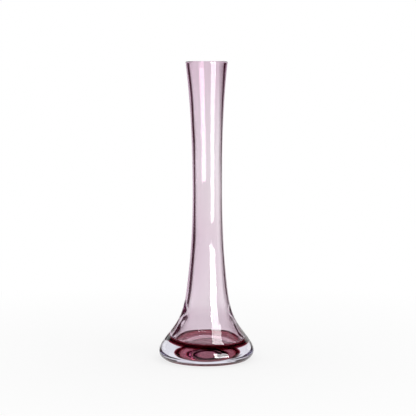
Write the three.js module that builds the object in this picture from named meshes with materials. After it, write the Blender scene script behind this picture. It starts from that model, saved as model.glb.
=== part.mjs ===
import * as THREE from 'three';

// A blown glass bud vase. The sizes are in millimetres, +Z is up, and the origin is the centre of
// the plane that the vase stands on. A burgundy bubble forms the neck, the flare and the cup. A
// gather of clear glass wraps the cup and forms the heavy foot.

// Overall sizes
const HEIGHT = 250;
const MOUTH_DIAMETER = 35;
const WAIST_DIAMETER = 24.8;
const WAIST_HEIGHT = 142;
const FOOT_DIAMETER = 80;
const FOOT_WIDEST_HEIGHT = 7.2;

// Walls and lip
const RIM_WALL = 2.8;
const WAIST_WALL = 1.35;
const LIP_HEIGHT = 1.2;

// Cup inside the flare. CUP_WALL is the tinted and the clear glass together, beside the cup.
const CUP_WALL = 7.4;
const TINTED_CUP_WALL = 2;
const CUP_FLOOR_HEIGHT = 12.4;
const CUP_CORNER = 4;
const TINTED_FLOOR = 1.3;
const TINTED_CORNER = 2.2;

// Clear foot. The gather thins out to nothing at its top edge.
const GATHER_HEIGHT = 102;
const RESTING_RING_DIAMETER = 64;
const RESTING_RING_WIDTH = 3.5;
const HOLLOW_DEPTH = 4.8;
const HOLLOW_POWER = 1.8;

// Shape of the neck: how fast it opens above the waist, and how fast its wall thickens.
const NECK_OPENING_POWER = 2.4;
const NECK_WALL_POWER = 1.3;

// Shape of the flare below the waist: shares of the height down to the widest line, and shares of
// the radius gained by then.
const FLARE_HEIGHT_SHARES = [0, 0.19, 0.31, 0.44, 0.56, 0.69, 0.75, 0.81, 0.875, 0.94, 1];
const FLARE_RADIUS_SHARES = [
  0, 0.0152, 0.0396, 0.0856, 0.1462, 0.2349, 0.3121, 0.436, 0.645, 0.884, 1,
];

// The wall below the waist: shares of the height down to the cup, and shares of the wall gained.
const WALL_HEIGHT_SHARES = [0, 0.28, 0.43, 0.56, 0.7, 0.78, 0.84, 0.91, 1];
const WALL_GAIN_SHARES = [0, 0.07, 0.125, 0.17, 0.205, 0.27, 0.51, 0.68, 1];

// Fineness of the mesh
const SIDES = 48;
const NECK_STEPS = 11;
const FLARE_STEPS = 13;
const SHOULDER_STEPS = 4;
const CORNER_STEPS = 4;
const LIP_STEPS = 6;
const HOLLOW_STEPS = 5;

const { lerp } = THREE.MathUtils;

const mouthRadius = MOUTH_DIAMETER / 2;
const waistRadius = WAIST_DIAMETER / 2;
const footRadius = FOOT_DIAMETER / 2;
const ringOuterRadius = RESTING_RING_DIAMETER / 2;
const ringInnerRadius = ringOuterRadius - RESTING_RING_WIDTH;
const lipLevel = HEIGHT - LIP_HEIGHT;
const cupLevel = CUP_FLOOR_HEIGHT + CUP_CORNER;
const bubbleBottom = CUP_FLOOR_HEIGHT - TINTED_FLOOR;

// A smooth curve through shares, level at both ends.
function smoothCurve(placeShares, valueShares) {
  const curve = new THREE.CubicInterpolant(placeShares, valueShares, 1);
  curve.settings = { endingStart: THREE.ZeroSlopeEnding, endingEnd: THREE.ZeroSlopeEnding };
  return (share) => curve.evaluate(share)[0];
}

const flareShape = smoothCurve(FLARE_HEIGHT_SHARES, FLARE_RADIUS_SHARES);
const wallShape = smoothCurve(WALL_HEIGHT_SHARES, WALL_GAIN_SHARES);

// Radius of the outside at a height between the widest line of the foot and the lip.
function outerRadius(height) {
  if (height >= WAIST_HEIGHT) {
    const share = (height - WAIST_HEIGHT) / (lipLevel - WAIST_HEIGHT);
    return lerp(waistRadius, mouthRadius, share ** NECK_OPENING_POWER);
  }
  const share = (WAIST_HEIGHT - height) / (WAIST_HEIGHT - FOOT_WIDEST_HEIGHT);
  return lerp(waistRadius, footRadius, flareShape(share));
}

// Thickness of all the glass beside the cavity at a height between the cup and the lip.
function wall(height) {
  if (height >= WAIST_HEIGHT) {
    const share = (height - WAIST_HEIGHT) / (lipLevel - WAIST_HEIGHT);
    return lerp(WAIST_WALL, RIM_WALL, share ** NECK_WALL_POWER);
  }
  const share = (WAIST_HEIGHT - height) / (WAIST_HEIGHT - cupLevel);
  return lerp(WAIST_WALL, CUP_WALL, wallShape(share));
}

function cavityRadius(height) {
  return outerRadius(height) - wall(height);
}

// Radius of the face where the tinted and the clear glass meet, from the cup to the gather's top.
function seamRadius(height) {
  const depthShare = (GATHER_HEIGHT - height) / (GATHER_HEIGHT - cupLevel);
  const tintedShare = lerp(1, TINTED_CUP_WALL / CUP_WALL, depthShare);
  return cavityRadius(height) + wall(height) * tintedShare;
}

// Heights from one level to another, both included.
function levels(from, to, steps) {
  return Array.from({ length: steps + 1 }, (_, step) => lerp(from, to, step / steps));
}

function side(radiusAt, heights) {
  return heights.map((height) => new THREE.Vector2(radiusAt(height), height));
}

// Points of an elliptical arc round a centre, without the point that it starts from.
function arc(centreRadius, centreHeight, halfWidth, halfHeight, fromTurn, toTurn, steps) {
  return levels(fromTurn, toTurn, steps).slice(1).map((turn) => {
    const angle = turn * 2 * Math.PI;
    return new THREE.Vector2(
      centreRadius + halfWidth * Math.cos(angle),
      centreHeight + halfHeight * Math.sin(angle),
    );
  });
}

// The seam from the middle of the bubble's bottom, round its corner and up to the gather's top.
function seamPoints() {
  const cornerRadius = seamRadius(cupLevel);
  const cornerHeight = cupLevel - bubbleBottom;
  const centre = new THREE.Vector2(0, bubbleBottom);
  const cornerStart = new THREE.Vector2(cornerRadius - TINTED_CORNER, bubbleBottom);
  const corner = arc(
    cornerRadius - TINTED_CORNER, cupLevel, TINTED_CORNER, cornerHeight, -0.25, 0, CORNER_STEPS,
  );
  const flare = side(seamRadius, levels(cupLevel, GATHER_HEIGHT, FLARE_STEPS).slice(1, -1));
  const top = new THREE.Vector2(outerRadius(GATHER_HEIGHT), GATHER_HEIGHT);
  return [centre, cornerStart, ...corner, ...flare, top];
}

// A solid turned round +Z from a profile that starts and ends on the axis.
function turned(profile) {
  const geometry = new THREE.LatheGeometry(profile, SIDES);
  geometry.rotateX(Math.PI / 2);
  return geometry;
}

function namedMesh(name, geometry, material) {
  const mesh = new THREE.Mesh(geometry, material);
  mesh.name = name;
  return mesh;
}

// The burgundy glass: lip, neck, flare and cup, open at the mouth.
function tintedBubble() {
  const outside = side(outerRadius, levels(GATHER_HEIGHT, lipLevel, NECK_STEPS).slice(1));
  const lipCentre = (mouthRadius + cavityRadius(lipLevel)) / 2;
  const lip = arc(lipCentre, lipLevel, RIM_WALL / 2, LIP_HEIGHT, 0, 0.5, LIP_STEPS);
  const neckDown = levels(lipLevel, GATHER_HEIGHT, NECK_STEPS).slice(1);
  const flareDown = levels(GATHER_HEIGHT, cupLevel, FLARE_STEPS).slice(1);
  const inside = side(cavityRadius, [...neckDown, ...flareDown]);
  const cornerCentre = cavityRadius(cupLevel) - CUP_CORNER;
  const corner = arc(cornerCentre, cupLevel, CUP_CORNER, CUP_CORNER, 0, -0.25, CORNER_STEPS);
  const floor = new THREE.Vector2(0, CUP_FLOOR_HEIGHT);
  const geometry = turned([...seamPoints(), ...outside, ...lip, ...inside, ...corner, floor]);
  const material = new THREE.MeshStandardMaterial({
    color: 0x9c5f78, roughness: 0.03, metalness: 0, transparent: true, opacity: 0.55,
  });
  return namedMesh('tinted_bubble', geometry, material);
}

// The clear glass: hollow underside, resting ring, rounded foot and the sleeve up the flare.
function clearFoot() {
  const hollow = levels(0, ringInnerRadius, HOLLOW_STEPS).map((radius) => {
    const rise = 1 - (radius / ringInnerRadius) ** HOLLOW_POWER;
    return new THREE.Vector2(radius, HOLLOW_DEPTH * rise);
  });
  const ringEdge = new THREE.Vector2(ringOuterRadius, 0);
  const underside = arc(
    ringOuterRadius, FOOT_WIDEST_HEIGHT, footRadius - ringOuterRadius, FOOT_WIDEST_HEIGHT,
    -0.25, 0, CORNER_STEPS + 1,
  );
  const shoulder = levels(FOOT_WIDEST_HEIGHT, cupLevel, SHOULDER_STEPS).slice(1);
  const sleeve = levels(cupLevel, GATHER_HEIGHT, FLARE_STEPS).slice(1);
  const outside = side(outerRadius, [...shoulder, ...sleeve]);
  const seamDown = seamPoints().reverse().slice(1);
  const geometry = turned([...hollow, ringEdge, ...underside, ...outside, ...seamDown]);
  const material = new THREE.MeshStandardMaterial({
    color: 0xe9e9f2, roughness: 0.02, metalness: 0, transparent: true, opacity: 0.3,
  });
  return namedMesh('clear_foot', geometry, material);
}

const vase = new THREE.Group();
vase.add(tintedBubble(), clearFoot());

export default vase;
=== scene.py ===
import math
from collections import namedtuple

import bpy
import numpy as np
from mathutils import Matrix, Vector, noise

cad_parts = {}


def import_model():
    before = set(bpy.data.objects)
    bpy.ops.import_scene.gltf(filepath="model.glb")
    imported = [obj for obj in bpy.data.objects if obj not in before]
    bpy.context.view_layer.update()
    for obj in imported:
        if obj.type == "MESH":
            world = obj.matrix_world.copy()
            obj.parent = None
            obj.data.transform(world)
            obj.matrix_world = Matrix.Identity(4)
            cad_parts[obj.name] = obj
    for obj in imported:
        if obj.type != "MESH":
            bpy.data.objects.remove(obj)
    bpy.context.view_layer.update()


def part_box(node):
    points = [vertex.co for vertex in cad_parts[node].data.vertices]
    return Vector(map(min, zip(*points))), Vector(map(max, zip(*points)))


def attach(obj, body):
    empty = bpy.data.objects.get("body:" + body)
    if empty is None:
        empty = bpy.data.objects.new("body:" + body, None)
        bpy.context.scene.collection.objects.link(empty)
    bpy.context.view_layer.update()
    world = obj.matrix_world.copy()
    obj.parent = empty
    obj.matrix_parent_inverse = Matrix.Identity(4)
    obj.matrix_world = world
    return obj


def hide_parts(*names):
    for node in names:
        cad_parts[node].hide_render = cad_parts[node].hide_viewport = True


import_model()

MM = 0.001
FULL_TURN = 360.0
WHITE = (1, 1, 1, 1)

# Driving sizes, read from the frame
_, bubble_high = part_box("tinted_bubble")
_, foot_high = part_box("clear_foot")
height = bubble_high.z
foot_radius = foot_high.x
gather_height = foot_high.z

# Sizes of the vase that the frame's boxes don't give
MOUTH_RADIUS = 17.5 * MM
WAIST_RADIUS = 12.4 * MM
WAIST_HEIGHT = 142 * MM
FOOT_WIDEST_HEIGHT = 7.2 * MM
RIM_WALL = 2.8 * MM
WAIST_WALL = 1.35 * MM
LIP_HEIGHT = 1.2 * MM
CUP_WALL = 7.4 * MM
TINTED_CUP_WALL = 2.0 * MM
CUP_FLOOR_HEIGHT = 12.4 * MM
CUP_CORNER = 4 * MM
TINTED_FLOOR = 1.3 * MM
TINTED_CORNER = 2.2 * MM
RING_OUTER_RADIUS = 32 * MM
RING_INNER_RADIUS = 28.5 * MM
HOLLOW_DEPTH = 4.8 * MM
HOLLOW_POWER = 1.8
NECK_OPENING_POWER = 2.4
NECK_WALL_POWER = 1.3
FLARE_HEIGHT_SHARES = (0, 0.19, 0.31, 0.44, 0.56, 0.69, 0.75, 0.81, 0.875, 0.94, 1)
FLARE_RADIUS_SHARES = (0, 0.0152, 0.0396, 0.0856, 0.1462, 0.2349, 0.3121, 0.436, 0.645, 0.884, 1)
WALL_HEIGHT_SHARES = (0, 0.28, 0.43, 0.56, 0.7, 0.78, 0.84, 0.91, 1)
WALL_GAIN_SHARES = (0, 0.07, 0.125, 0.17, 0.205, 0.27, 0.51, 0.68, 1)

# The colour that has pooled in the bubble's floor and corner
POOL_HEIGHT = 15.9 * MM
POOLED_FLOOR_INSET = 0.4 * MM
POOLED_CORNER_INSET_TURN = 0.005
SEAM_GAP = 0.02 * MM

# Hand-blown unevenness. The lean's heights are shares, its shifts millimetres
RIPPLE = 0.09 * MM
OUTER_RIPPLE = 0.02 * MM
RIPPLE_WIDTH = 9 * MM
RIPPLE_LENGTH = 26 * MM
OUTSIDE_SEED = 7.7
CAVITY_SEED = 11.3
LEAN_HEIGHTS = (0, 0.06, 0.2, 0.4, 0.56, 0.75, 0.9, 1)
LEAN_SHIFTS = (0, 0.15, 0.5, 0.85, 0.85, 0.6, 0.35, 0.25)
CUP_SHIFT = 1.2 * MM
NECK_SHIFT = 0.5 * MM
NECK_SHIFT_RATE = 1.6
CUP_TILT = -0.03
TILT_END_MULTIPLE = 2.5
SEAM_SHIFT_SHARE = 0.6

# Sides round the axis, and steps along each stretch of a profile
SIDES = 144
NECK_STEPS = 72
FLARE_STEPS = 72
FOOT_STEPS = 96
LIP_STEPS = 14
CORNER_STEPS = 10
SEAM_FLOOR_STEPS = 12
CUP_FLOOR_STEPS = 14
POOLED_RIM_STEPS = 3
HOLLOW_STEPS = 24
RING_STEPS = 3
UNDERSIDE_STEPS = 18

# Directions of an arc's ends, in turns
OUTWARD = 0
INWARD = 0.5
DOWNWARD = -0.25

# Absorption to the metre, in red, green and blue
BURGUNDY = (57, 98, 69)
POOLED_BURGUNDY = (180, 370, 330)
DEEPEST_BURGUNDY = (430, 900, 800)
CLEAR = (3.2, 3.4, 1.8)
DENSITY_MARGIN = 1.1

# Colours of the streaks, the paler and the deeper
FAINT_STREAKS = ((1, 0.985, 0.99, 1), (0.97, 0.95, 0.96, 1))
POOLED_STREAKS = ((0.86, 0.52, 0.57, 1), (0.8, 0.45, 0.5, 1))
CLEAR_STREAKS = (WHITE, (0.985, 0.985, 0.99, 1))

# Surface of the glass: streaks drawn along it, smudges, and a paler tint where it is drawn out most
GLASS_IOR = 1.5
STREAK_SCALES = (160, 160, 9)
STREAK_DETAIL = 3.0
STREAK_CONTRAST = (0.3, 0.7)
STREAK_BUMP = 0.12
STREAK_DEPTH = 0.02 * MM
SMUDGE_SCALE = 70.0
SMUDGE_DETAIL = 4.0
SMUDGE_CONTRAST = (0.5, 0.8)
SMUDGE_ROUGHNESS = 0.02
PALE_HEIGHTS = (155 * MM, 226 * MM)
PALE_FADE = 18 * MM

# Softbox panels: distance, bearings, heights, strength, and whether the cavity mirrors it
SOFTBOXES = (
    (0.2, (20, 57), (0.1336, 0.33), 10.5, True),
    (0.542, (25, 54), (0.0885, 0.5), 10.5, False),
    (3.0, (20, 55), (0.049, 2.45), 28.0, False),
    (3.0, (25, 66), (2.45, 6.2), 10.5, False),
)
SOFTBOX_COLOUR = (1, 0.98, 1, 1)
CAVITY_CROSSINGS = 4

# The black card close in front of the foot, its corners as (x, z) in millimetres
CARD_DISTANCE = 46 * MM
CARD_CORNERS = (
    (-6, 17.2), (20, 18.2), (38, 21), (64, 30), (64, 79), (48, 58.5),
    (38, 57), (28, 51.5), (20, 46.5), (10, 43), (-6, 42),
)

# The floor, and a glowing patch under the foot painted with the table's shadow
FLOOR_REACH = 3.0
FLOOR_DROP = 0.1 * MM
FLOOR_COLOUR = (0.85, 0.85, 0.85, 1)
FLOOR_FADE = (0.08, 0.4)
FLOOR_NEAR_GLOW = 0.75
PAINTED_SHADOW_RADIUS = 36 * MM
PAINTED_SHADOW_DROP = 0.05 * MM
# Painted shadow: the burgundy shade of the table under the foot, which the patch glows with
PAINTED_SHADOW_COLOUR = (0.2, 0.07, 0.1, 1)

# Cloths round the white background: bearings and elevations in degrees, and brightness
CLOTHS = (
    ((27, 78), (-10, 3), 0),
    ((42, 78), (-14, 1), 0),
    ((56, 78), (-14, 26), 0),
    ((-78, -27), (-10, 3), 0),
    ((-78, -42), (-14, 1), 0),
    ((-78, -56), (-14, 26), 0),
    ((-78, -18), (1, 7), 0),
    ((-20, 20), (7, 40), 0.85),
    ((9, 40), (-12, 3), 0.7),
)
CLOTH_EDGE = 2
CLOTH_COLOUR = (0.045, 0.01, 0.018, 1)

# The dim room behind the camera, and the black room and ceiling that the outside mirrors
DIM_ROOM = ((105, 255), (-9, 26), 0.35)
BLACK_ROOM_BEARINGS = (40, 320)
BLACK_ROOM_SIDE_EDGE = 6
BLACK_ROOM_ELEVATION = 14
BLACK_ROOM_LOWER_EDGE = 4
BLACK_CEILING_ELEVATION = 35
BLACK_CEILING_EDGE = 6
AMBIENT = 0.85

# The key light for the floor's shadow
KEY_SIZE = 0.8
KEY_POWER = 4.0
KEY_PLACE = Vector((0.7, -0.7, 1.2))
KEY_TARGET = Vector((0, 0, 0.1))

# The camera, level with the lip and looking a little down, as in the photograph
FRAME_PIXELS = 416
FOCAL_PIXELS = 1445.7
AXIS_PIXEL = 206.3
SENSOR_WIDTH = 36
CAMERA_DISTANCE = 1.204
CAMERA_HEIGHT = 0.25
CAMERA_PITCH = math.radians(5.80)
CAMERA_CLIP = (0.05, 20)

# Bounces of light
GLASS_BOUNCES = 32
GLOSSY_BOUNCES = 16

lip_level = height - LIP_HEIGHT
cup_level = CUP_FLOOR_HEIGHT + CUP_CORNER
bubble_bottom = CUP_FLOOR_HEIGHT - TINTED_FLOOR
seam_corner_depth = cup_level - bubble_bottom


def lerp(a, b, share):
    return a + (b - a) * share


def clamped(share):
    return min(max(share, 0), 1)


def smooth_curve(places, values):
    """A cubic spline through the points, level at both ends, as a function of the place."""
    x, y = np.array(places, float), np.array(values, float)
    n, h = len(x), np.diff(x)
    matrix, right = np.zeros((n, n)), np.zeros(n)
    matrix[0, 0] = matrix[-1, -1] = 1
    for i in range(1, n - 1):
        matrix[i, i - 1 : i + 2] = 1 / h[i - 1], 2 / h[i - 1] + 2 / h[i], 1 / h[i]
        right[i] = 3 * ((y[i] - y[i - 1]) / h[i - 1] ** 2 + (y[i + 1] - y[i]) / h[i] ** 2)
    slope = np.linalg.solve(matrix, right)

    def at(place):
        i = int(np.clip(np.searchsorted(x, place) - 1, 0, n - 2))
        t, w = (place - x[i]) / h[i], h[i]
        return float(
            (1 + 2 * t) * (1 - t) ** 2 * y[i]
            + t * (1 - t) ** 2 * w * slope[i]
            + t * t * (3 - 2 * t) * y[i + 1]
            - t * t * (1 - t) * w * slope[i + 1]
        )

    return at


flare_shape = smooth_curve(FLARE_HEIGHT_SHARES, FLARE_RADIUS_SHARES)
wall_shape = smooth_curve(WALL_HEIGHT_SHARES, WALL_GAIN_SHARES)
lean_shape = smooth_curve(LEAN_HEIGHTS, LEAN_SHIFTS)


def neck_share(z):
    """Share of the way up from the waist to the lip."""
    return (z - WAIST_HEIGHT) / (lip_level - WAIST_HEIGHT)


def outer_radius(z):
    """Radius of the outside between the widest line of the foot and the lip."""
    if z >= WAIST_HEIGHT:
        return lerp(WAIST_RADIUS, MOUTH_RADIUS, neck_share(z) ** NECK_OPENING_POWER)
    share = (WAIST_HEIGHT - z) / (WAIST_HEIGHT - FOOT_WIDEST_HEIGHT)
    return lerp(WAIST_RADIUS, foot_radius, flare_shape(share))


def wall(z):
    """Thickness of all the glass beside the cavity."""
    if z >= WAIST_HEIGHT:
        return lerp(WAIST_WALL, RIM_WALL, neck_share(z) ** NECK_WALL_POWER)
    share = (WAIST_HEIGHT - z) / (WAIST_HEIGHT - cup_level)
    return lerp(WAIST_WALL, CUP_WALL, wall_shape(share))


def cavity_radius(z):
    return outer_radius(z) - wall(z)


def sleeve(z):
    """Thickness of the clear glass round the bubble."""
    depth_share = (gather_height - z) / (gather_height - cup_level)
    return wall(z) * depth_share * (1 - TINTED_CUP_WALL / CUP_WALL)


def seam_radius(z):
    """Radius of the face where the tinted and the clear glass meet."""
    return outer_radius(z) - sleeve(z)


def pool_turn(corner_depth):
    """Where a corner's arc meets the top of the pooled colour, in turns."""
    return -math.asin((cup_level - POOL_HEIGHT) / corner_depth) / math.tau


cup_flat_radius = cavity_radius(cup_level) - CUP_CORNER
seam_flat_radius = seam_radius(cup_level) - TINTED_CORNER
pooled_floor_radius = cup_flat_radius - POOLED_FLOOR_INSET
cup_pool_turn = pool_turn(CUP_CORNER)
seam_pool_turn = pool_turn(seam_corner_depth)


def levels(low, high, steps):
    return [lerp(low, high, i / steps) for i in range(steps + 1)]


def side(radius_at, heights):
    return [(radius_at(z), z) for z in heights]


def flat(radii, z):
    return [(radius, z) for radius in radii]


def arc(centre, half_width, half_height, start, end, steps):
    """(radius, height) points of an elliptical arc between two directions, in turns."""
    return [
        (
            centre[0] + half_width * math.cos(math.tau * turn),
            centre[1] + half_height * math.sin(math.tau * turn),
        )
        for turn in levels(start, end, steps)
    ]


def ripple(x, y, z, seed, amount):
    """A slow swell of blown glass, the same each run."""
    place = Vector((x / RIPPLE_WIDTH + seed, y / RIPPLE_WIDTH, z / RIPPLE_LENGTH))
    return noise.noise(place) * amount


def cup_offset(z):
    """Shift of the cavity off the outside's axis, and the tilt of its floor."""
    flare_share = clamped((WAIST_HEIGHT - z) / (WAIST_HEIGHT - cup_level))
    below_lip = clamped((lip_level - z) / (lip_level - WAIST_HEIGHT))
    neck_shift = NECK_SHIFT * clamped(below_lip * NECK_SHIFT_RATE)
    shift = lerp(neck_shift, CUP_SHIFT, flare_share**2)
    tilt_end = TILT_END_MULTIPLE * cup_level
    return shift, CUP_TILT * clamped((tilt_end - z) / (tilt_end - cup_level))


def seam_offset(z):
    """The seam moves with the cavity, as far as the clear glass round it is thick enough."""
    shift, tilt = cup_offset(z)
    return min(shift, SEAM_SHIFT_SHARE * sleeve(z)), tilt


def placed(x, y, z, offset):
    """A point after the vase's slight lean and the shift and tilt of its cavity."""
    shift, tilt = offset(z) if offset else (0, 0)
    return x + shift + lean_shape(z / height) * MM, y, z + tilt * x


# A stretch of a piece's profile, its points as (radius, height)
Section = namedtuple("Section", "points is_seam ripple seed offset", defaults=(False, 0, 0, None))


def cavity_section(points, is_seam=False):
    return Section(points, is_seam, RIPPLE, CAVITY_SEED, cup_offset)


def seam_section(points):
    return Section(points, is_seam=True, offset=seam_offset)


def ring_points(radius, z, section):
    points = []
    for i in range(SIDES):
        angle = math.tau * i / SIDES
        x, y = math.cos(angle), math.sin(angle)
        r = radius + ripple(radius * x, radius * y, z, section.seed, section.ripple)
        points.append(placed(r * x, r * y, z, section.offset))
    return points


def band(low, high):
    """Faces between two rings, of which one may be a single point on the axis."""
    faces = []
    for i in range(SIDES):
        j = (i + 1) % SIDES
        if len(low) == 1:
            faces.append((low[0], high[j], high[i]))
        elif len(high) == 1:
            faces.append((low[i], low[j], high[0]))
        else:
            faces.append((low[i], low[j], high[j], high[i]))
    return faces


def turned_piece(name, sections):
    """A closed mesh turned round the axis. A profile that starts off the axis closes in a seam."""
    vertices, faces, seams, rings, sharp_rings = [], [], [], [], []

    def skin(low, high, is_seam):
        faces.extend(band(low, high))
        seams.extend([float(is_seam)] * SIDES)

    for section in sections:
        sharp_rings.extend(rings[-1:])
        for radius, z in section.points:
            start = len(vertices)
            if radius == 0:
                vertices.append(placed(0, 0, z, section.offset))
            else:
                vertices.extend(ring_points(radius, z, section))
            rings.append(range(start, len(vertices)))
            if len(rings) > 1:
                skin(rings[-2], rings[-1], section.is_seam)
    if len(rings[0]) > 1:
        skin(rings[-1], rings[0], True)
        sharp_rings.extend((rings[0], rings[-1]))
    mesh = bpy.data.meshes.new(name)
    mesh.from_pydata(vertices, [], faces)
    mesh.attributes.new("seam", "FLOAT", "FACE").data.foreach_set("value", seams)
    mesh.shade_smooth()
    corners = {frozenset((r[i], r[(i + 1) % len(r)])) for r in sharp_rings for i in range(len(r))}
    sharp = [frozenset(edge.vertices) in corners for edge in mesh.edges]
    mesh.attributes.new("sharp_edge", "BOOLEAN", "EDGE").data.foreach_set("value", sharp)
    piece = bpy.data.objects.new(name, mesh)
    bpy.context.scene.collection.objects.link(piece)
    return piece


def seam_corner(start, end, gap):
    """The seam round the bubble's bottom corner, drawn in by a gap."""
    centre = (seam_flat_radius, cup_level)
    return arc(centre, TINTED_CORNER - gap, seam_corner_depth - gap, start, end, CORNER_STEPS)


def seam_floor():
    """The seam under the bubble, from the axis out to the top of the pooled colour."""
    bottom = flat(levels(0, seam_flat_radius, SEAM_FLOOR_STEPS), bubble_bottom)
    return bottom + seam_corner(DOWNWARD, seam_pool_turn, 0)[1:]


def seam_side(gap):
    """The seam from the top of the pooled colour up to the gather's top."""
    heights = levels(cup_level, gather_height, FLARE_STEPS)[1:-1]
    points = seam_corner(seam_pool_turn, OUTWARD, gap)
    points += side(lambda z: seam_radius(z) - gap, heights)
    return points + [(outer_radius(gather_height), gather_height)]


def cup_corner(start, end):
    return arc((cup_flat_radius, cup_level), CUP_CORNER, CUP_CORNER, start, end, CORNER_STEPS)


def tinted_bubble():
    """The burgundy glass above the pooled colour: lip, neck and flare."""
    outside = side(outer_radius, levels(gather_height, lip_level, NECK_STEPS)[1:])
    lip_centre = (MOUTH_RADIUS - RIM_WALL / 2, lip_level)
    lip = arc(lip_centre, RIM_WALL / 2, LIP_HEIGHT, OUTWARD, INWARD, LIP_STEPS)[1:]
    inside = side(cavity_radius, levels(lip_level, gather_height, NECK_STEPS)[1:])
    inside += side(cavity_radius, levels(gather_height, cup_level, FLARE_STEPS)[1:])
    corner = cup_corner(OUTWARD, cup_pool_turn)[1:]
    return turned_piece(
        "tinted_bubble_glass",
        [
            seam_section(seam_side(SEAM_GAP)),
            Section(outside, ripple=OUTER_RIPPLE, seed=OUTSIDE_SEED),
            cavity_section(lip + inside + corner),
        ],
    )


def pooled_floor():
    """The deeper coloured floor of the bubble."""
    reach = pooled_floor_radius - SEAM_GAP
    bottom = flat(levels(0, reach, SEAM_FLOOR_STEPS), bubble_bottom + SEAM_GAP)
    floor_points = flat(levels(reach, 0, CUP_FLOOR_STEPS), CUP_FLOOR_HEIGHT)
    return turned_piece(
        "pooled_floor_glass",
        [
            seam_section(bottom),
            cavity_section(floor_points[:1], is_seam=True),
            cavity_section(floor_points[1:]),
        ],
    )


def pooled_corner():
    """The corner round that floor, where the colour has pooled deepest."""
    radii = levels(pooled_floor_radius, seam_flat_radius, POOLED_RIM_STEPS)
    rim = flat(radii, bubble_bottom + SEAM_GAP)
    rim += seam_corner(DOWNWARD, seam_pool_turn - POOLED_CORNER_INSET_TURN, SEAM_GAP)[1:]
    corner = cup_corner(cup_pool_turn, DOWNWARD)
    edge = (corner[0][0], POOL_HEIGHT - SEAM_GAP)
    return turned_piece(
        "pooled_corner_glass",
        [
            seam_section(rim),
            cavity_section([edge], is_seam=True),
            cavity_section(corner[1:] + [(pooled_floor_radius, CUP_FLOOR_HEIGHT)]),
        ],
    )


def clear_foot():
    """The clear glass: hollow underside, resting ring, rounded foot and the sleeve up the flare."""
    hollow = [
        (r, HOLLOW_DEPTH * (1 - (r / RING_INNER_RADIUS) ** HOLLOW_POWER))
        for r in levels(0, RING_INNER_RADIUS, HOLLOW_STEPS)
    ]
    ring = flat(levels(RING_INNER_RADIUS, RING_OUTER_RADIUS, RING_STEPS)[1:], 0)
    under = arc(
        (RING_OUTER_RADIUS, FOOT_WIDEST_HEIGHT),
        foot_radius - RING_OUTER_RADIUS,
        FOOT_WIDEST_HEIGHT,
        DOWNWARD,
        OUTWARD,
        UNDERSIDE_STEPS,
    )
    outside = side(outer_radius, levels(FOOT_WIDEST_HEIGHT, gather_height, FOOT_STEPS)[1:])
    seam = seam_floor() + seam_side(0)[1:]
    return turned_piece(
        "clear_foot_glass",
        [
            Section(hollow),
            Section(ring),
            Section(under[1:] + outside),
            seam_section(seam[-2::-1]),
        ],
    )


class Graph:
    """Makes nodes of a tree. An input may be a plain value or another node's output."""

    def __init__(self, tree):
        self.tree = tree
        tree.nodes.clear()

    def node(self, kind, inputs=(), **settings):
        node = self.tree.nodes.new(kind)
        for key, value in settings.items():
            setattr(node, key, value)
        for key, value in dict(inputs).items():
            socket = node.inputs[key]
            if isinstance(value, bpy.types.NodeSocket):
                self.tree.links.new(value, socket)
            else:
                socket.default_value = value
        return node

    def math(self, operation, *values):
        return self.node("ShaderNodeMath", dict(enumerate(values)), operation=operation).outputs[0]

    def inverse(self, share):
        return self.math("SUBTRACT", 1.0, share)

    def at_least(self, count, number):
        """1 where a whole count has reached the number."""
        return self.math("GREATER_THAN", count, number - 0.5)

    def scaled(self, value, low, high, at_low, at_high, **settings):
        """Maps the stretch from low to high onto the one from at_low to at_high."""
        inputs = {0: value, 1: low, 2: high, 3: at_low, 4: at_high}
        return self.node("ShaderNodeMapRange", inputs, **settings).outputs[0]

    def soft_step(self, value, level, soft, before, after):
        edge = {"interpolation_type": "SMOOTHSTEP"}
        return self.scaled(value, level - soft, level + soft, before, after, **edge)

    def above(self, value, level, soft):
        """1 where the value lies above the level, rising from 0 over a soft edge."""
        return self.soft_step(value, level, soft, 0.0, 1.0)

    def between(self, value, low, high, soft):
        """1 where the value lies between low and high, falling to 0 over a soft edge."""
        below = self.soft_step(value, high, soft, 1.0, 0.0)
        return self.math("MULTIPLY", self.above(value, low, soft), below)

    def noise_texture(self, place, scale, detail):
        inputs = {"Vector": place, "Scale": scale, "Detail": detail}
        return self.node("ShaderNodeTexNoise", inputs).outputs["Fac"]

    def mix_colour(self, share, first, second):
        inputs = {0: share, 6: first, 7: second}
        return self.node("ShaderNodeMix", inputs, data_type="RGBA").outputs[2]

    def mix_shader(self, share, first, second):
        return self.node("ShaderNodeMixShader", {0: share, 1: first, 2: second}).outputs[0]

    def emission(self, colour, strength):
        return self.node("ShaderNodeEmission", {"Color": colour, "Strength": strength}).outputs[0]


def new_material(name):
    material = bpy.data.materials.new(name)
    material.use_nodes = True
    return material, Graph(material.node_tree)


def absorption(graph, per_metre):
    """Plain absorption of so much red, green and blue to the metre."""
    density = max(per_metre) * DENSITY_MARGIN
    colour = [1 - a / density for a in per_metre]
    inputs = {"Color": (*colour, 1), "Density": density}
    return graph.node("ShaderNodeVolumeAbsorption", inputs).outputs[0]


def streak_colour(graph, streaks, colours):
    ramp = graph.node("ShaderNodeValToRGB", {"Fac": streaks})
    for stop, position, colour in zip(ramp.color_ramp.elements, STREAK_CONTRAST, colours):
        stop.position, stop.color = position, colour
    return ramp.outputs["Color"]


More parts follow.
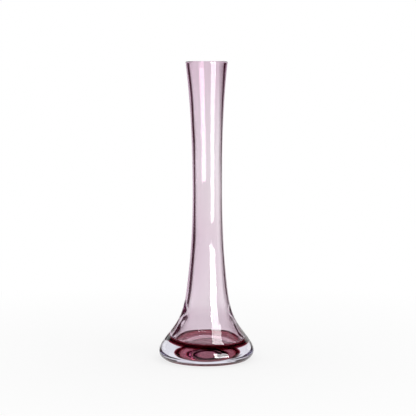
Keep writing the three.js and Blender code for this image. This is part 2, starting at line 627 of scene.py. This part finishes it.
def glass_material(name, per_metre, streak_colours):
    """Polished blown glass with faint drawn streaks. On its seams light goes straight on."""
    material, graph = new_material(name)
    place = graph.node("ShaderNodeTexCoord").outputs["Object"]
    drawn = graph.node("ShaderNodeMapping", {"Vector": place, "Scale": STREAK_SCALES}).outputs[0]
    streaks = graph.noise_texture(drawn, 1.0, STREAK_DETAIL)
    z = graph.node("ShaderNodeSeparateXYZ", {0: place}).outputs["Z"]
    pale = graph.between(z, *PALE_HEIGHTS, PALE_FADE)
    colour = graph.mix_colour(pale, streak_colour(graph, streaks, streak_colours), WHITE)
    bump = {"Height": streaks, "Strength": STREAK_BUMP, "Distance": STREAK_DEPTH}
    smudges = graph.noise_texture(place, SMUDGE_SCALE, SMUDGE_DETAIL)
    glass = graph.node(
        "ShaderNodeBsdfPrincipled",
        {
            "Base Color": colour,
            "Roughness": graph.scaled(smudges, *SMUDGE_CONTRAST, 0.0, SMUDGE_ROUGHNESS),
            "IOR": GLASS_IOR,
            "Transmission Weight": 1.0,
            "Normal": graph.node("ShaderNodeBump", bump).outputs[0],
        },
    )
    fused = graph.node("ShaderNodeBsdfTransparent")
    seam = graph.node("ShaderNodeAttribute", attribute_name="seam", attribute_type="GEOMETRY")
    surface = graph.mix_shader(seam.outputs["Fac"], glass.outputs[0], fused.outputs[0])
    output = {"Surface": surface, "Volume": absorption(graph, per_metre)}
    graph.node("ShaderNodeOutputMaterial", output)
    return material


def panel_material(name, strength, by_cavity):
    """A panel's light, which only the outside or only the cavity's far wall mirrors.

    By way of the cavity it crosses both faces of the near wall, in and out.
    """
    material, graph = new_material(name)
    path = graph.node("ShaderNodeLightPath")
    crossed = path.outputs["Transmission Depth"]
    if by_cavity:
        allowed = graph.at_least(crossed, CAVITY_CROSSINGS)
    else:
        allowed = graph.inverse(graph.at_least(crossed, 1))
    mirrored = graph.math("MULTIPLY", graph.at_least(path.outputs["Glossy Depth"], 1), allowed)
    clear = graph.node("ShaderNodeBsdfTransparent").outputs[0]
    surface = graph.mix_shader(mirrored, clear, graph.emission(SOFTBOX_COLOUR, strength))
    graph.node("ShaderNodeOutputMaterial", {"Surface": surface})
    return material


def flat_sheet(name, corners, material):
    mesh = bpy.data.meshes.new(name)
    mesh.from_pydata(corners, [], [tuple(range(len(corners)))])
    mesh.materials.append(material)
    sheet = bpy.data.objects.new(name, mesh)
    bpy.context.scene.collection.objects.link(sheet)
    return sheet


def panel_object(name, corners, strength, by_cavity):
    panel = flat_sheet(name, corners, panel_material(name, strength, by_cavity))
    panel.visible_camera = panel.visible_diffuse = panel.visible_shadow = False


def softbox(distance, bearings, heights, strength, by_cavity):
    """A panel turned to the vase. Its bearings are degrees to the right of straight in front."""
    middle = math.radians(sum(bearings) / 2)
    half = distance * math.tan(math.radians(bearings[1] - bearings[0]) / 2)
    centre = Vector((math.sin(middle), -math.cos(middle), 0)) * distance
    along = Vector((math.cos(middle), math.sin(middle), 0)) * half
    low, high = (Vector((0, 0, z)) for z in heights)
    left, right = centre - along, centre + along
    corners = [left + low, right + low, right + high, left + high]
    panel_object("softbox", corners, strength, by_cavity)


def card():
    """Parts the softbox's mirror image at the foot's shoulder."""
    corners = [(x * MM, -CARD_DISTANCE, z * MM) for x, z in CARD_CORNERS]
    panel_object("card", corners, strength=0.0, by_cavity=False)


def floor():
    """A pale floor that keeps the vase's shadow and fades to plain white further off."""
    material, graph = new_material("floor")
    paper = graph.node("ShaderNodeBsdfDiffuse", {"Color": FLOOR_COLOUR}).outputs[0]
    place = graph.node("ShaderNodeTexCoord").outputs["Object"]
    distance = graph.node("ShaderNodeVectorMath", {0: place}, operation="LENGTH").outputs["Value"]
    white = graph.scaled(distance, *FLOOR_FADE, FLOOR_NEAR_GLOW, 1.0)
    seen = graph.node("ShaderNodeLightPath").outputs["Is Camera Ray"]
    share = graph.math("MULTIPLY", seen, white)
    surface = graph.mix_shader(share, paper, graph.emission(WHITE, 1.0))
    graph.node("ShaderNodeOutputMaterial", {"Surface": surface})
    signs = ((-1, -1), (1, -1), (1, 1), (-1, 1))
    corners = [(x * FLOOR_REACH, y * FLOOR_REACH, -FLOOR_DROP) for x, y in signs]
    sheet = flat_sheet("floor", corners, material)
    sheet.visible_glossy = sheet.visible_transmission = False


def painted_shadow_patch():
    """A glowing patch under the foot, painted with the table's shadow tinted burgundy by light
    through the glass, which shows through the glass alone.
    """
    material, graph = new_material("painted_shadow_patch")
    # The patch glows with its painted shadow colour; no light falls on it
    surface = graph.emission(PAINTED_SHADOW_COLOUR, 1.0)
    graph.node("ShaderNodeOutputMaterial", {"Surface": surface})
    angles = [math.tau * i / SIDES for i in range(SIDES)]
    corners = [
        (PAINTED_SHADOW_RADIUS * math.cos(a), PAINTED_SHADOW_RADIUS * math.sin(a), -PAINTED_SHADOW_DROP) for a in angles
    ]
    patch = flat_sheet("painted_shadow_patch", corners, material)
    patch.visible_camera = patch.visible_diffuse = patch.visible_shadow = False


def world():
    """Surroundings for what the glass shows, and a plain light for everything else.

    Bearings are in degrees from straight behind the vase, positive to the right.
    """
    made = bpy.data.worlds.new("studio")
    bpy.context.scene.world = made
    made.use_nodes = True
    graph = Graph(made.node_tree)
    way = graph.node("ShaderNodeTexCoord").outputs["Generated"]
    x, y, z = graph.node("ShaderNodeSeparateXYZ", {0: way}).outputs
    bearing = graph.math("DEGREES", graph.math("ARCTAN2", x, y))
    full_bearing = graph.math("WRAP", bearing, FULL_TURN, 0.0)
    elevation = graph.math("DEGREES", graph.math("ARCSINE", z))
    path = graph.node("ShaderNodeLightPath")
    mirrored = graph.at_least(path.outputs["Glossy Depth"], 1)
    by_outside = graph.inverse(graph.at_least(path.outputs["Transmission Depth"], 1))

    def patch(angle, bearings, elevations):
        across = graph.between(angle, *bearings, CLOTH_EDGE)
        return graph.math("MULTIPLY", across, graph.between(elevation, *elevations, CLOTH_EDGE))

    def dimmed(light, share, brightness):
        left = graph.inverse(graph.math("MULTIPLY", share, 1 - brightness))
        return graph.math("MINIMUM", light, left)

    shown = 1.0
    for bearings, elevations, brightness in CLOTHS:
        shown = dimmed(shown, patch(bearing, bearings, elevations), brightness)
    bearings, elevations, brightness = DIM_ROOM
    room = graph.math("MULTIPLY", patch(full_bearing, bearings, elevations), mirrored)
    shown = dimmed(shown, room, brightness)
    black = graph.math(
        "MULTIPLY",
        graph.above(elevation, BLACK_ROOM_ELEVATION, BLACK_ROOM_LOWER_EDGE),
        graph.between(full_bearing, *BLACK_ROOM_BEARINGS, BLACK_ROOM_SIDE_EDGE),
    )
    ceiling = graph.above(elevation, BLACK_CEILING_ELEVATION, BLACK_CEILING_EDGE)
    black = graph.math("MULTIPLY", graph.math("MAXIMUM", black, ceiling), by_outside)
    shown = graph.math("MULTIPLY", shown, graph.inverse(black))
    glossy, transmitted = path.outputs["Is Glossy Ray"], path.outputs["Is Transmission Ray"]
    by_glass = graph.math("MAXIMUM", glossy, transmitted)
    shown = graph.math("MAXIMUM", shown, graph.inverse(by_glass))
    colour = graph.mix_colour(shown, CLOTH_COLOUR, WHITE)
    seen = graph.math("MAXIMUM", by_glass, path.outputs["Is Camera Ray"])
    level = graph.node("ShaderNodeMix", {0: seen, 2: AMBIENT, 3: 1.0}, data_type="FLOAT").outputs[0]
    light = graph.node("ShaderNodeBackground", {"Color": colour, "Strength": level})
    graph.node("ShaderNodeOutputWorld", {"Surface": light.outputs[0]})


def lamp():
    """A soft light over the right shoulder of the camera."""
    data = bpy.data.lights.new("key", "AREA")
    data.size, data.energy = KEY_SIZE, KEY_POWER
    light = bpy.data.objects.new("key", data)
    light.location = KEY_PLACE
    light.rotation_euler = (KEY_TARGET - KEY_PLACE).to_track_quat("-Z", "Y").to_euler()
    light.visible_camera = light.visible_glossy = light.visible_transmission = False
    bpy.context.scene.collection.objects.link(light)


def camera():
    data = bpy.data.cameras.new("camera")
    data.sensor_width = SENSOR_WIDTH
    data.lens = SENSOR_WIDTH * FOCAL_PIXELS / FRAME_PIXELS
    data.clip_start, data.clip_end = CAMERA_CLIP
    eye = bpy.data.objects.new("camera", data)
    bpy.context.scene.collection.objects.link(eye)
    eye.location = (0, -CAMERA_DISTANCE, CAMERA_HEIGHT)
    turn = math.atan((FRAME_PIXELS / 2 - AXIS_PIXEL) / FOCAL_PIXELS)
    eye.rotation_euler = (math.pi / 2 - CAMERA_PITCH, 0, -turn)
    bpy.context.scene.camera = eye


def dress():
    """The four pieces of glass, in place of the solids."""
    burgundy = glass_material("burgundy_glass", BURGUNDY, FAINT_STREAKS)
    pooled = glass_material("pooled_burgundy_glass", POOLED_BURGUNDY, POOLED_STREAKS)
    deepest = glass_material("deepest_burgundy_glass", DEEPEST_BURGUNDY, POOLED_STREAKS)
    clear = glass_material("clear_glass", CLEAR, CLEAR_STREAKS)
    for piece, material, node, slot in (
        (tinted_bubble(), burgundy, "tinted_bubble", "burgundy_glass"),
        (pooled_floor(), pooled, "tinted_bubble", "burgundy_glass"),
        (pooled_corner(), deepest, "tinted_bubble", "burgundy_glass"),
        (clear_foot(), clear, "clear_foot", "clear_glass"),
    ):
        piece.data.materials.append(material)
        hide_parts(node)
        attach(piece, "root")


dress()
for panel in SOFTBOXES:
    softbox(*panel)
card()
floor()
painted_shadow_patch()
world()
lamp()
camera()

scene = bpy.context.scene
scene.view_settings.view_transform = "Standard"
scene.cycles.max_bounces = GLASS_BOUNCES
scene.cycles.transmission_bounces = GLASS_BOUNCES
scene.cycles.transparent_max_bounces = GLASS_BOUNCES
scene.cycles.glossy_bounces = GLOSSY_BOUNCES
